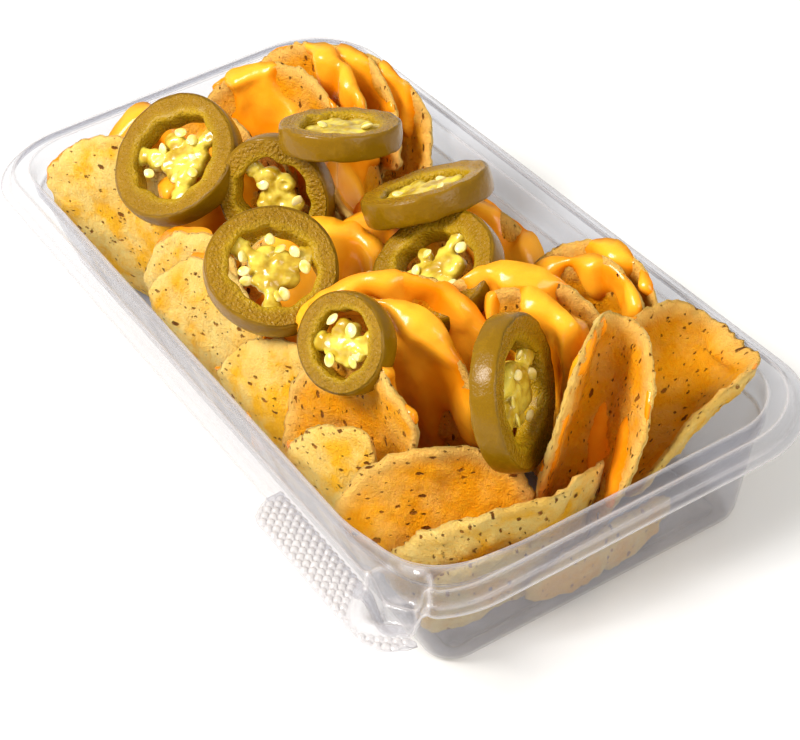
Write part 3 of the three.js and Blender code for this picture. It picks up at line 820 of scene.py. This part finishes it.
def pepper_core(radius, thickness, dice, chambers, spin, fill):
    """The lumpy placenta and the ribs that divide the seed chambers, as one skin, in the slice's own frame.
    fill is how much of the middle the placenta takes up, 0 to 1."""
    parts = []
    inside = radius * 0.76
    tall = thickness * 0.5
    for k in range(chambers):
        a = math.radians(spin) + 2 * math.pi * (k + 0.5) / chambers + dice.uniform(-0.2, 0.2)
        for step in range(9):
            r = inside * (step + 0.3) / 8.6
            thick = 1.5 + 1.8 * fill * max(0, 1 - step / 5) + (0.9 if step > 5 else 0)
            centre = (r * math.cos(a), r * math.sin(a), dice.uniform(-0.3, 0.3))
            size = (1.3, thick * dice.uniform(0.85, 1.2), tall * (0.8 if step > 3 else 1))
            parts.append(ball(centre, size, Matrix.Rotation(a, 3, "Z")))
    reach = inside * fill
    if fill > 0.7:
        parts.append(ball((0, 0, 0), (reach, reach * 0.8, tall), rows=14, columns=28))
    for _ in range(int(10 + 60 * fill * fill)):
        a, r = dice.uniform(0, 2 * math.pi), math.sqrt(dice.random()) * reach
        size = dice.uniform(1.3, 2.9) * radius / 15
        centre = (r * math.cos(a), r * math.sin(a), dice.uniform(-0.5, 0.35) * tall)
        parts.append(ball(centre, (size, size * 0.8, min(size * 1.3, tall))))
    points, faces, _ = joined([(p, f, {}) for p, f in parts])
    points, faces = remeshed(points, faces, CORE_VOXEL, 3)
    # the knife cut both sides nearly flat
    lumps = Lumps(dice.randrange(10000), 3)
    top = thickness * 0.4 + 0.25 * lumps(points[:, 0], points[:, 1])
    points[:, 2] = top * np.tanh(points[:, 2] / top)
    return points, faces


def seed_shape(centre, length, dice):
    turn = Matrix.Rotation(dice.uniform(0, 2 * math.pi), 3, "Z")
    turn = turn @ Matrix.Rotation(dice.uniform(-0.6, 0.6), 3, "X")
    turn = turn @ Matrix.Rotation(dice.uniform(-0.5, 0.5), 3, "Y")
    return ball(centre, (length / 2, length * 0.4, length * 0.16), turn, rows=12, columns=20, pinch=0.35)


def pepper_skin_material():
    """Pickled green pepper: waxy skin softened in brine, with a wet cut wall. Olive, glossy and faintly
    clear."""
    p = settings("peppers")
    material, tree = new_material("pickled_pepper_wall")
    across = add(tree, "ShaderNodeAttribute", attribute_name="across").outputs["Fac"]
    place = add(tree, "ShaderNodeTexCoord").outputs["Object"]
    mottle = add(tree, "ShaderNodeTexNoise", {"Vector": place, "Scale": 330.0, "Detail": 4.0, "Roughness": 0.65})
    broad = add(tree, "ShaderNodeTexNoise", {"Vector": place, "Scale": 90.0, "Detail": 2.0})
    wander = add(tree, "ShaderNodeMath", {0: mottle.outputs["Fac"], 1: 0.16, 2: -0.08}, operation="MULTIPLY_ADD")
    moved = add(tree, "ShaderNodeMath", {0: across, 1: wander.outputs[0]}, operation="ADD")
    lined = add(tree, "ShaderNodeMapRange", {"Value": moved.outputs[0], "From Min": 0.05, "From Max": 0.5},
                interpolation_type="SMOOTHSTEP")
    wall = add(tree, "ShaderNodeMix", {0: lined.outputs["Result"], 6: opaque(p.lining), 7: opaque(p.flesh)},
               data_type="RGBA")
    deep = add(tree, "ShaderNodeMapRange", {
        "Value": broad.outputs["Fac"], "From Min": 0.35, "From Max": 0.65, "To Min": 0.0, "To Max": 0.4,
    })
    shaded = add(tree, "ShaderNodeMix", {0: deep.outputs["Result"], 6: wall.outputs[2], 7: opaque(p.skin)},
                 data_type="RGBA")
    skinned = add(tree, "ShaderNodeMapRange", {"Value": moved.outputs[0], "From Min": 0.86, "From Max": 0.97},
                  interpolation_type="SMOOTHSTEP")
    speckle = add(tree, "ShaderNodeMapRange", {
        "Value": mottle.outputs["Fac"], "From Min": 0.5, "From Max": 0.75, "To Min": 0.0, "To Max": 0.45,
    })
    skin = add(tree, "ShaderNodeMix", {0: speckle.outputs["Result"], 6: opaque(p.skin), 7: opaque(p.flesh)},
               data_type="RGBA")
    colour = add(tree, "ShaderNodeMix", {0: skinned.outputs["Result"], 6: shaded.outputs[2], 7: skin.outputs[2]},
                 data_type="RGBA")
    # the knife leaves the cut wall pebbled with cells about 0.4 mm across, which glint when wet
    cells = add(tree, "ShaderNodeTexNoise", {"Vector": place, "Scale": 1300.0, "Detail": 2.0})
    cut = add(tree, "ShaderNodeMath", {0: 1.0, 1: skinned.outputs["Result"]}, operation="SUBTRACT")
    pebbles = add(tree, "ShaderNodeMath", {0: cells.outputs["Fac"], 1: cut.outputs[0]}, operation="MULTIPLY")
    # the skin wrinkles a little, in dents about 3 mm across
    dents = add(tree, "ShaderNodeMath", {0: mottle.outputs["Fac"], 1: 0.35, 2: pebbles.outputs[0]},
                operation="MULTIPLY_ADD")
    bump = add(tree, "ShaderNodeBump", {"Strength": 1.0, "Distance": 0.0009, "Height": dents.outputs[0]})
    shader = add(tree, "ShaderNodeBsdfPrincipled", {
        "Base Color": colour.outputs[2], "Roughness": 0.24, "IOR": 1.42, "Specular IOR Level": 0.22,
        "Normal": bump.outputs[0], "Coat Weight": 0.06, "Coat Roughness": 0.15, "Subsurface Weight": 0.15,
        "Subsurface Radius": (0.7, 1.0, 0.2), "Subsurface Scale": 0.0015,
    })
    add(tree, "ShaderNodeOutputMaterial", {"Surface": shader.outputs[0]})
    return material


def wet_material(name, light, dark, scale, roughness):
    """Soft wet plant tissue in two close colours, in cloudy spots 1/scale metres across."""
    material, tree = new_material(name)
    place = add(tree, "ShaderNodeTexCoord").outputs["Object"]
    cloud = add(tree, "ShaderNodeTexNoise", {"Vector": place, "Scale": scale, "Detail": 3.0})
    share = add(tree, "ShaderNodeMapRange", {"Value": cloud.outputs["Fac"], "From Min": 0.35, "From Max": 0.65},
                interpolation_type="SMOOTHSTEP")
    colour = add(tree, "ShaderNodeMix", {0: share.outputs["Result"], 6: opaque(light), 7: opaque(dark)},
                 data_type="RGBA")
    bump = add(tree, "ShaderNodeBump", {"Strength": 0.3, "Distance": 0.0003, "Height": cloud.outputs["Fac"]})
    shader = add(tree, "ShaderNodeBsdfPrincipled", {
        "Base Color": colour.outputs[2], "Roughness": roughness, "IOR": 1.42, "Normal": bump.outputs[0],
        "Coat Weight": 0.4, "Coat Roughness": 0.1, "Subsurface Weight": 0.2,
        "Subsurface Radius": (0.9, 1.0, 0.3), "Subsurface Scale": 0.0015,
    })
    add(tree, "ShaderNodeOutputMaterial", {"Surface": shader.outputs[0]})
    return material


class NACHOS_OT_peppers(bpy.types.Operator):
    """Makes the pickled pepper slices, each with its wall, its ribs and its seeds"""

    bl_idname = "nachos.peppers"
    bl_label = "Pepper slices"

    def execute(self, context):
        p = settings("peppers")
        materials = [
            pepper_skin_material(),
            # placenta: pale spongy tissue that soaked up brine, duller and yellower than the wall
            wet_material("pepper_placenta", p.placenta, p.lining, 260.0, 0.3),
            # seeds: flat and hard, cream gone yellow in brine
            wet_material("pickled_pepper_seed", p.seed, p.placenta, 400.0, 0.28),
        ]
        for index, (name, row) in enumerate(PEPPERS.items()):
            middle, face, tilt, radius, thickness, spin, chambers, seeds, fill = row
            dice = random.Random(900 + index)
            wall_points, wall_faces, across = pepper_wall(radius, thickness, dice, chambers)
            core_points, core_faces = pepper_core(radius, thickness, dice, chambers, spin, fill)
            parts = [
                (wall_points, wall_faces, across, 0),
                (core_points, core_faces, np.zeros(len(core_points)), 1),
            ]
            for k in range(seeds):
                a = 2 * math.pi * k / seeds + dice.uniform(-0.4, 0.4)
                r = radius * dice.uniform(0.25, 0.52)
                centre = (r * math.cos(a), r * math.sin(a), thickness * dice.uniform(0.2, 0.42))
                points, faces = seed_shape(centre, p.seed_length / MM * dice.uniform(0.85, 1.05), dice)
                parts.append((points, faces, np.zeros(len(points)), 2))
            points, faces, marks = joined([(q, f, {"across": v}) for q, f, v, _ in parts])
            kinds = sum(([kind] * len(f) for _, f, _, kind in parts), [])
            placed = points @ facing(face, tilt).T + np.array(middle, float)
            piece = new_piece(name + "_pickled", placed, faces, materials, marks, kinds)
            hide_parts(name)
        return {"FINISHED"}


# ------------------------------------------------------------------ tray

# The film's upper face from the floor out to the skirt, as outset from the crest and height.
FILM_PROFILE = (
    (-12.5, -33.4), (-10.2, -33.4), (-9.0, -33.1), (-8.1, -32.2), (-7.4, -30.4), (-6.4, -26), (-5.3, -21),
    (-4.2, -16), (-3.1, -11), (-2.3, -7.6), (-1.9, -7.0), (-1.2, -6.7), (-0.9, -6.1), (-0.8, -4), (-0.65, -1.6),
    (-0.5, -0.7), (-0.2, -0.15), (0.15, 0.0), (0.5, -0.15), (0.9, -0.55), (1.25, -0.7), (1.6, -0.8),
    (2.1, -0.84), (2.6, -0.85), (3.0, -0.82), (3.4, -0.75), (3.8, -0.45), (4.1, -0.25), (4.3, -0.2),
    (4.5, -0.23), (4.8, -0.35), (5.2, -0.8), (5.5, -1.8), (5.8, -2.8), (6.3, -3.2), (6.8, -3.27),
    (7.3, -3.3), (7.9, -3.33), (8.3, -3.34), (8.5, -3.35),
)
CORNER_STEPS = 22
STRAIGHT_STEP = 3.4
# Ribs stand on the walls at these places along Y on the long sides, and along X on the short ones.
RIB_SPOTS = ((1, (-66, -33, 0, 33, 66)), (0, (-15, 15)))
RIB_HALF_WIDTH = 1.7
CUP = (-50.2, -101.0)
CUP_RADIUS = 5.8
CUP_DEPTH = 5.5
CUP_LIP = 0.9
WEAVE_HEIGHT = 0.85
TAB = {"outer": -61.6, "inner": -54.0, "front": -113.0, "back": -57.0, "corner": 9.0, "height": -3.5}


def ring_plan():
    """Points round the tray as (corner centre signs, turn or straight share), anticlockwise from +X.
    The corner with the snap cup has more of them."""
    plan = []
    corners = ((1, 1), (-1, 1), (-1, -1), (1, -1))
    for k, (sx, sy) in enumerate(corners):
        count = CORNER_STEPS * (3 if k == 2 else 1)
        for i in range(count):
            plan.append(("corner", sx, sy, (k + i / count) * math.pi / 2))
        nx, ny = corners[(k + 1) % 4]
        length = 2 * (RIM_HALF[0] - RIM_CORNER) if sy == ny else 2 * (RIM_HALF[1] - RIM_CORNER)
        steps = round(length / STRAIGHT_STEP)
        for i in range(steps):
            plan.append(("side", (sx, sy), (nx, ny), i / steps, (k + 1) * math.pi / 2))
    return plan


def ring_points(plan, out):
    radius = max(RIM_CORNER + out, 2.5)
    cx, cy = RIM_HALF[0] + out - radius, RIM_HALF[1] + out - radius
    points, outward = [], []
    for entry in plan:
        if entry[0] == "corner":
            _, sx, sy, turn = entry
            x, y = sx * cx, sy * cy
        else:
            _, (sx, sy), (nx, ny), share, turn = entry
            x = (sx + (nx - sx) * share) * cx
            y = (sy + (ny - sy) * share) * cy
        points.append((x + radius * math.cos(turn), y + radius * math.sin(turn)))
        outward.append((math.cos(turn), math.sin(turn)))
    return np.array(points), np.array(outward)


def tray_film():
    """The tray's one skin, as rows of points with how milky each is: the foot, the ribbed walls, the
    double-ridged rim, the skirt and the snap cup."""
    p = settings("tray")
    plan = ring_plan()
    rib = p.rib_depth / MM
    rows, heights, bends = [], [], []
    for out, z in FILM_PROFILE:
        xy, outward = ring_points(plan, out)
        push = np.zeros(len(xy))
        if -31 < z < -8:
            level = smooth_step(-31, -28, z) * (1 - smooth_step(-11, -8.5, z))
            for axis, spots in RIB_SPOTS:
                on_side = np.abs(outward[:, 1 - axis]) > 0.999
                for spot in spots:
                    near = 1 - smooth_step(0.6, RIB_HALF_WIDTH + 0.8, np.abs(xy[:, axis] - spot))
                    push += rib * level * near * on_side
        xy = xy + outward * push[:, None]
        xy = xy + narrowed(xy, out)
        z_here = np.full(len(xy), float(z))
        away = cup_away(xy)
        in_cup = np.exp(-((away - 1.2) / 0.1) ** 2) + 0.8 * np.exp(-((away - 0.62) / 0.08) ** 2)
        if z > -5:
            z_here = z_here - cup_depth(away)
        rows.append(xy)
        heights.append(z_here)
        ribbed = np.clip(push / rib, 0, 1) * (push < rib * 0.95)
        bends.append(film_bend(out, z) + 0.6 * ribbed + 1.2 * in_cup * (z > -5))
    return np.concatenate([np.stack(rows), np.stack(heights)[..., None]], axis=2), np.stack(bends)


def narrowed(xy, out):
    """The inner rim steps in beside the snap cup."""
    if not -3.5 < out < 1.8:
        return np.zeros_like(xy)
    near = 1 - smooth_step(6, 26, np.hypot(xy[:, 0] + 45, xy[:, 1] + 100))
    amount = 2.6 * near * (1 - smooth_step(0.4, 1.8, out)) * smooth_step(-3.5, -1.5, out)
    return np.stack([amount, amount * 0.6], axis=1)


def cup_away(xy):
    """How far points are from the middle of the snap cup, as shares of its rounded square outline."""
    x, y = xy[..., 0] - CUP[0], xy[..., 1] - CUP[1]
    return (np.abs((x - y) * 0.707) ** 3 + np.abs((x + y) * 0.707) ** 3) ** (1 / 3) / CUP_RADIUS


def cup_depth(away):
    """The snap cup's depth under its raised lip."""
    lip = np.exp(-((away - 1.22) / 0.16) ** 2)
    return CUP_DEPTH * (1 - smooth_step(0.6, 1.05, away)) - CUP_LIP * lip


def film_bend(out, z):
    """How milky the film is at a bend: 1 on the crests and at the foot, 0 on the flats."""
    spots = ((0.15, 0.0, 1.3), (4.3, -0.2, 1.2), (-1.9, -7.0, 1.2), (-8.4, -32.6, 1.0), (8.5, -3.35, 1.2),
             (6.1, -3.1, 0.9))
    wall = 0.2 if z < -7 else 0.0
    return wall + sum(h * math.exp(-((out - a) ** 2 + (z - b) ** 2) / 0.16) for a, b, h in spots)


def film_material():
    """PET film: clear sheet drawn over a mould by vacuum. Sharp reflections, milky white where it is bent."""
    p = settings("tray")
    material, tree = new_material("clear_pet_film")
    bend = add(tree, "ShaderNodeAttribute", attribute_name="bend").outputs["Fac"]
    place = add(tree, "ShaderNodeTexCoord").outputs["Object"]
    # draw marks: faint waves about 7 mm long left by the hot sheet
    draw = add(tree, "ShaderNodeTexNoise", {"Vector": place, "Scale": 140.0, "Detail": 2.0, "Distortion": 0.6})
    bump = add(tree, "ShaderNodeBump", {"Strength": 0.22, "Distance": 0.0006, "Height": draw.outputs["Fac"]})
    clear = add(tree, "ShaderNodeBsdfTransparent", {"Color": opaque(p.clear)})
    gloss = add(tree, "ShaderNodeBsdfPrincipled", {
        "Base Color": opaque(p.haze), "Roughness": 0.09, "IOR": 1.57, "Normal": bump.outputs[0],
        "Coat Weight": 0.6, "Coat Roughness": 0.03,
    })
    # a thin sheet mirrors alike from both sides, so the share comes from the slant alone
    slant = add(tree, "ShaderNodeLayerWeight", {"Blend": 0.5, "Normal": bump.outputs[0]})
    steep = add(tree, "ShaderNodeMath", {0: slant.outputs["Facing"], 1: 4.0}, operation="POWER")
    milky = add(tree, "ShaderNodeMath", {0: bend, 1: 0.3}, operation="MULTIPLY")
    base = add(tree, "ShaderNodeMath", {0: steep.outputs[0], 1: 0.6, 2: 0.06}, operation="MULTIPLY_ADD")
    total = add(tree, "ShaderNodeMath", {0: base.outputs[0], 1: milky.outputs[0]}, operation="ADD",
                use_clamp=True)
    mixed = add(tree, "ShaderNodeMixShader", {0: total.outputs[0], 1: clear.outputs[0], 2: gloss.outputs[0]})
    add(tree, "ShaderNodeOutputMaterial", {"Surface": mixed.outputs[0]})
    return material


def sheet_of(grid_points, marks, thickness, wrap):
    """A closed sheet from rows of points: the rows as its upper face, and a copy one thickness under it."""
    rows, count = grid_points.shape[:2]
    flat = grid_points.reshape(-1, 3)
    right = np.roll(grid_points, -1, axis=1) - np.roll(grid_points, 1, axis=1)
    if not wrap:
        right[:, 0] = grid_points[:, 1] - grid_points[:, 0]
        right[:, -1] = grid_points[:, -1] - grid_points[:, -2]
    ahead = np.gradient(grid_points, axis=0)
    normal = np.cross(ahead, right)
    normal /= np.maximum(np.linalg.norm(normal, axis=2, keepdims=True), 1e-9)
    under = (grid_points - normal * thickness).reshape(-1, 3)
    n = len(flat)
    span = count if wrap else count - 1
    faces = []
    for r in range(rows - 1):
        for c in range(span):
            a, b = r * count + c, r * count + (c + 1) % count
            d, e = (r + 1) * count + c, (r + 1) * count + (c + 1) % count
            faces.append((a, d, e, b))
            faces.append((n + a, n + b, n + e, n + d))
    for r in (0, rows - 1):
        for c in range(span):
            a, b = r * count + c, r * count + (c + 1) % count
            faces.append((a, b, n + b, n + a) if r == 0 else (b, a, n + a, n + b))
    if not wrap:
        for c in (0, count - 1):
            for r in range(rows - 1):
                a, b = r * count + c, (r + 1) * count + c
                faces.append((b, a, n + a, n + b) if c == 0 else (a, b, n + b, n + a))
    return np.concatenate([flat, under]), faces, {"bend": np.concatenate([marks.ravel()] * 2)}


def tray_tab(thickness):
    """The lifting tab: a flat ear with a basket-weave of dimples, round at the front corner."""
    pitch = settings("tray").dimple / MM
    step = pitch / 8
    rows = int((TAB["back"] - TAB["front"]) / step)
    points, marks = [], []
    for r in range(rows + 1):
        y = TAB["front"] + (TAB["back"] - TAB["front"]) * r / rows
        outer = TAB["outer"]
        from_front = y - TAB["front"]
        if from_front < TAB["corner"]:
            outer += TAB["corner"] - math.sqrt(max(TAB["corner"] ** 2 - (TAB["corner"] - from_front) ** 2, 0))
        from_back = TAB["back"] - y
        if from_back < 6:
            outer += 5.5 * (1 - from_back / 6) ** 2
        inner = TAB["inner"] + 1.2
        row, mark = [], []
        for c in range(31):
            x = outer + (inner - outer) * c / 30
            weave = math.sin(2 * math.pi * x / pitch) * math.sin(2 * math.pi * y / pitch)
            away = float(cup_away(np.array([x, y])))
            sides = ((x - outer) / 1.2, (inner - x) / 0.8, from_back / 3, from_front / 3, away * 3 - 4.4)
            flat = max(0, min(1, *sides))
            deep = max(0.0, weave) ** 0.6 * flat
            row.append((x, y, TAB["height"] + WEAVE_HEIGHT * deep - 0.15 - float(cup_depth(away))))
            mark.append(0.5 + 1.6 * flat * (0.55 + 0.45 * deep))
        points.append(row)
        marks.append(mark)
    return sheet_of(np.array(points), np.array(marks), thickness, False)


class NACHOS_OT_tray(bpy.types.Operator):
    """Makes the clear tray with its ribs, ridged rim, snap cup and dimpled tab"""

    bl_idname = "nachos.tray"
    bl_label = "Clear tray"

    def execute(self, context):
        film = settings("tray").film / MM
        grid, marks = tray_film()
        skin = sheet_of(grid, marks, film, True)
        # the floor: rings closing in on the middle
        first = grid[0]
        rings = []
        for share in (1, 0.86, 0.7, 0.5, 0.3, 0.12, 0.01):
            ring = first.copy()
            ring[:, :2] *= share
            rings.append(ring)
        floor = sheet_of(np.stack(rings[::-1]), np.zeros((len(rings), len(first))), film, True)
        tab = tray_tab(film)
        points, faces, values = joined([skin, floor, tab])
        piece = new_piece("tray_film", points, faces, [film_material()], values)
        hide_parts("tray")
        return {"FINISHED"}


# ------------------------------------------------------------------ stage

CAMERA_PLACE = (-167.10, -367.47, 319.51)
CAMERA_RIGHT = (0.85220, -0.51022, -0.11591)
CAMERA_UP = (0.39824, 0.48883, 0.77618)
CAMERA_AHEAD = (0.33936, 0.70761, -0.61977)


def area_light(name, place, aim, size, power, colour):
    data = bpy.data.lights.new(name, "AREA")
    data.shape, data.size, data.energy, data.color = "DISK", size, power, colour
    lamp = bpy.data.objects.new(name, data)
    lamp.location = place
    lamp.rotation_euler = (Vector(aim) - Vector(place)).to_track_quat("-Z", "Y").to_euler()
    bpy.context.scene.collection.objects.link(lamp)


class NACHOS_OT_stage(bpy.types.Operator):
    """Makes the plain floor, the soft lights and the camera"""

    bl_idname = "nachos.stage"
    bl_label = "Stage"

    def execute(self, context):
        p = settings("stage")
        scene = context.scene
        scene.view_settings.view_transform = "Standard"
        mesh = bpy.data.meshes.new("floor")
        side = 3.0
        corners = [(-side, -side, 0), (side, -side, 0), (side, side, 0), (-side, side, 0)]
        mesh.from_pydata(corners, [], [(0, 1, 2, 3)])
        floor = bpy.data.objects.new("floor", mesh)
        scene.collection.objects.link(floor)
        floor.location.z = CAD_BOX[0].z - 0.0002
        material, tree = new_material("painted_floor")
        paint = add(tree, "ShaderNodeBsdfPrincipled", {"Base Color": opaque(p.floor), "Roughness": 0.7})
        add(tree, "ShaderNodeOutputMaterial", {"Surface": paint.outputs[0]})
        mesh.materials.append(material)

        world = bpy.data.worlds.new("surround")
        scene.world = world
        world.use_nodes = True
        world.node_tree.nodes.clear()
        back = add(world.node_tree, "ShaderNodeBackground", {"Color": (1, 0.99, 0.97, 1), "Strength": p.sky})
        add(world.node_tree, "ShaderNodeOutputWorld", {"Surface": back.outputs[0]})

        middle = (0, 0, 0.03)
        area_light("key", (-0.75, 0.15, 0.95), middle, 0.5, p.key_power, (1.0, 0.97, 0.93))
        area_light("fill", (0.25, -1.1, 0.75), middle, 0.8, p.fill_power, (1.0, 0.98, 0.96))

        camera = bpy.data.objects.new("camera", bpy.data.cameras.new("camera"))
        scene.collection.objects.link(camera)
        camera.data.lens, camera.data.sensor_width = p.lens, 36.0
        axes = Matrix((CAMERA_RIGHT, CAMERA_UP, [-v for v in CAMERA_AHEAD])).transposed()
        camera.matrix_world = Matrix.Translation(Vector(CAMERA_PLACE) * MM) @ axes.to_4x4()
        scene.camera = camera
        return {"FINISHED"}


# ------------------------------------------------------------------ add-on

class NACHOS_PT_panel(bpy.types.Panel):
    """Sizes, colours and makers of the nachos"""

    bl_idname = "NACHOS_PT_panel"
    bl_label = "Nachos with cheese"
    bl_space_type = "VIEW_3D"
    bl_region_type = "UI"
    bl_category = "Nachos"

    def draw(self, context):
        for operator, group in STEPS:
            box = self.layout.box()
            box.operator(operator)
            rows = getattr(context.scene, "nachos_" + group)
            for key in type(rows).__annotations__:
                box.prop(rows, key)


GROUPS = {
    "tray": TraySettings, "chips": ChipSettings, "sauce": SauceSettings, "peppers": PepperSettings,
    "stage": StageSettings,
}
STEPS = (
    ("nachos.tray", "tray"), ("nachos.chips", "chips"), ("nachos.sauce", "sauce"),
    ("nachos.peppers", "peppers"), ("nachos.stage", "stage"),
)
CLASSES = (
    *GROUPS.values(), NACHOS_OT_tray, NACHOS_OT_chips, NACHOS_OT_sauce, NACHOS_OT_peppers, NACHOS_OT_stage,
    NACHOS_PT_panel,
)


def register():
    for kind in CLASSES:
        bpy.utils.register_class(kind)
    for name, kind in GROUPS.items():
        setattr(bpy.types.Scene, "nachos_" + name, PointerProperty(type=kind))


def unregister():
    for name in GROUPS:
        delattr(bpy.types.Scene, "nachos_" + name)
    for kind in reversed(CLASSES):
        bpy.utils.unregister_class(kind)


def main():
    register()
    for operator, _ in STEPS:
        maker, action = operator.split(".")
        getattr(getattr(bpy.ops, maker), action)()


if __name__ == "__main__":
    main()
